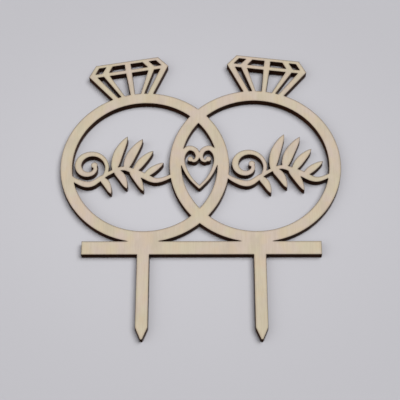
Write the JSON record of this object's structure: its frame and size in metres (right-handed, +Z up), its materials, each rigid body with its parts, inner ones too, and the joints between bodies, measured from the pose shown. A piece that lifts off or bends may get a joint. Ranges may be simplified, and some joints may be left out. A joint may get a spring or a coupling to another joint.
{
  "type": "cake topper",
  "caption": "Laser-cut plywood cake topper: linked rings with cut gems, leafy sprigs and an open heart, on a rail with pointed stakes",
  "frame": {"origin": "middle of the rail's underside, the face that rests on top of the cake, half way through the sheet's thickness", "axes": "+X to the viewer's right, +Y from the front face to the rear face, +Z up, as the topper stands in a cake"},
  "size_m": [0.1188, 0.003, 0.1329],
  "materials": {
    "face_veneer": "sanded, unfinished",
    "core_veneer": "charred by the laser on every cut wall"
  },
  "bodies": {
    "root": {"front_face_veneer": "face_veneer", "core_veneer": "core_veneer", "rear_face_veneer": "face_veneer"}
  },
  "joints": []
}
